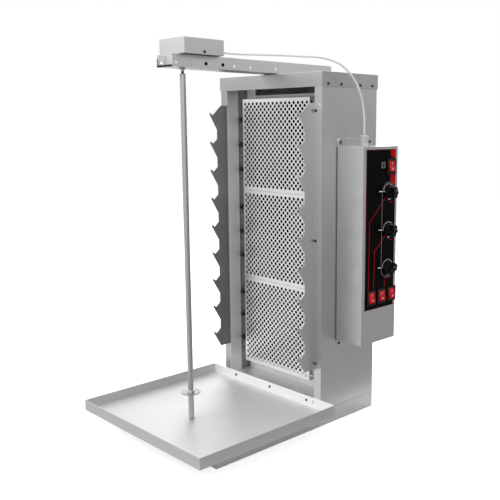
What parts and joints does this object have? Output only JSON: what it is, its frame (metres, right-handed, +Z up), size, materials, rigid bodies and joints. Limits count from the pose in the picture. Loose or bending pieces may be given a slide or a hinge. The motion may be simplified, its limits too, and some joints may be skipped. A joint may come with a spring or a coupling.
{
  "type": "doner kebab grill",
  "caption": "Upright electric doner grill: perforated heating screens in a steel tower, a motor-driven spit on an overhead arm, a drip tray, and a side control box with dials and switches.",
  "frame": {"origin": "on the ground under the tower's front face, on the middle of the tower's width", "axes": "+X to the right seen from the front, where the control box is; +Y to the back; +Z up, along the spit"},
  "size_m": [0.568, 0.6675, 0.998],
  "materials": {
    "panel_steel": "fine brushed stainless sheet",
    "tray_steel": "bright drawn stainless sheet",
    "screen_steel": "bright perforated stainless sheet",
    "rack_steel": "laser-cut stainless sheet",
    "screw_steel": "plain steel, machined",
    "bolt_black": "black oxide",
    "spit_steel": "ground stainless bar",
    "rod_sheath": "heat-tinted nickel alloy sheath",
    "ceramic_bead": "unglazed steatite",
    "ceramic_board": "dark fibre board",
    "blanket_fibre": "mineral fibre felt",
    "bush_bronze": "bronze, machined",
    "case_aluminium": "die-cast",
    "motor_paint": "baked enamel",
    "black_plastic": "moulded, satin",
    "knob_black": "moulded phenolic, satin",
    "grey_plastic": "moulded, satin",
    "cable_grey": "soft sheath",
    "label_film": "printed polyester film",
    "rocker_red": "moulded, gloss",
    "lamp_red": "clear red lens in a grey frame"
  },
  "bodies": {
    "frame": {"base_shell": "panel_steel", "base_plate": "panel_steel", "left_side_panel": "panel_steel", "right_side_panel": "panel_steel", "rear_cover": "panel_steel", "top_cap": "panel_steel", "cavity_floor": "panel_steel", "burner_box": "panel_steel", "arm_doubler": "panel_steel", "arm_channel": "panel_steel", "arm_flanges": "panel_steel", "motor_bracket": "panel_steel", "motor_cover": "panel_steel", "control_plate": "panel_steel", "control_shell": "panel_steel", "drip_tray": "tray_steel", "screen_top": "screen_steel", "screen_middle": "screen_steel", "screen_bottom": "screen_steel", "rack_left": "rack_steel", "rack_right": "rack_steel", "panel_screws": "screw_steel", "pivot_stud": "screw_steel", "arm_bolts": "bolt_black", "heater_rods_top": "rod_sheath", "heater_rods_middle": "rod_sheath", "heater_rods_bottom": "rod_sheath", "rod_insulators": "ceramic_bead", "regulators": "ceramic_bead", "terminal_block": "ceramic_bead", "radiant_board": "ceramic_board", "insulation_blanket": "blanket_fibre", "shaft_bush": "bush_bronze", "gear_case": "case_aluminium", "gear_lid": "case_aluminium", "motor_can": "motor_paint", "motor_gland": "black_plastic", "mains_gland": "black_plastic", "switch_frames": "black_plastic", "cable_gland": "grey_plastic", "motor_cable": "cable_grey", "control_label": "label_film", "indicator_lamp": "lamp_red"},
    "motor_shaft": {"motor_pinion": "spit_steel"},
    "spit": {"spit_bar": "spit_steel", "coupling_pin": "bolt_black", "output_shaft": "spit_steel", "drive_gear": "bush_bronze"},
    "disc": {"meat_disc": "spit_steel", "disc_screw": "screw_steel"},
    "knob_top": {"knob_top": "knob_black", "regulator_shaft_top": "spit_steel"},
    "knob_middle": {"knob_middle": "knob_black", "regulator_shaft_middle": "spit_steel"},
    "knob_bottom": {"knob_bottom": "knob_black", "regulator_shaft_bottom": "spit_steel"},
    "rocker_main": {"rocker_main": "rocker_red"},
    "rocker_left": {"rocker_left": "rocker_red"},
    "rocker_middle": {"rocker_middle": "rocker_red"},
    "rocker_right": {"rocker_right": "rocker_red"}
  },
  "joints": [
    {"name": "spit_spin", "type": "hinge", "parent": "frame", "child": "spit", "pos_m": [0, -0.277, 0.5], "axis": [0, 0, 1], "continuous": true},
    {"name": "pinion_spin", "type": "hinge", "parent": "frame", "child": "motor_shaft", "pos_m": [0, -0.25288, 0.97], "axis": [0, 0, 1], "continuous": true},
    {"name": "disc_slide", "type": "slide", "parent": "spit", "child": "disc", "axis": [0, 0, 1], "range_m": [-0.058, 0.78]},
    {"name": "knob_top_turn", "type": "hinge", "parent": "frame", "child": "knob_top", "pos_m": [0.287, 0.16032, 0.624], "axis": [1, 0, 0], "range_deg": [-270, 0]},
    {"name": "knob_middle_turn", "type": "hinge", "parent": "frame", "child": "knob_middle", "pos_m": [0.287, 0.16032, 0.5241], "axis": [1, 0, 0], "range_deg": [-259, 11]},
    {"name": "knob_bottom_turn", "type": "hinge", "parent": "frame", "child": "knob_bottom", "pos_m": [0.287, 0.16032, 0.4242], "axis": [1, 0, 0], "range_deg": [-225, 45]},
    {"name": "rocker_main_rock", "type": "hinge", "parent": "frame", "child": "rocker_main", "pos_m": [0.2858, 0.1682, 0.6902], "axis": [0, 1, 0], "range_deg": [0, 20]},
    {"name": "rocker_left_rock", "type": "hinge", "parent": "frame", "child": "rocker_left", "pos_m": [0.2858, 0.0939, 0.3518], "axis": [0, 1, 0], "range_deg": [0, 20]},
    {"name": "rocker_middle_rock", "type": "hinge", "parent": "frame", "child": "rocker_middle", "pos_m": [0.2858, 0.1357, 0.3518], "axis": [0, 1, 0], "range_deg": [0, 20]},
    {"name": "rocker_right_rock", "type": "hinge", "parent": "frame", "child": "rocker_right", "pos_m": [0.2858, 0.1775, 0.3518], "axis": [0, 1, 0], "range_deg": [0, 20]}
  ],
  "couplings": [
    {"joint": "pinion_spin", "follows": "spit_spin", "ratio": -2.4286}
  ]
}
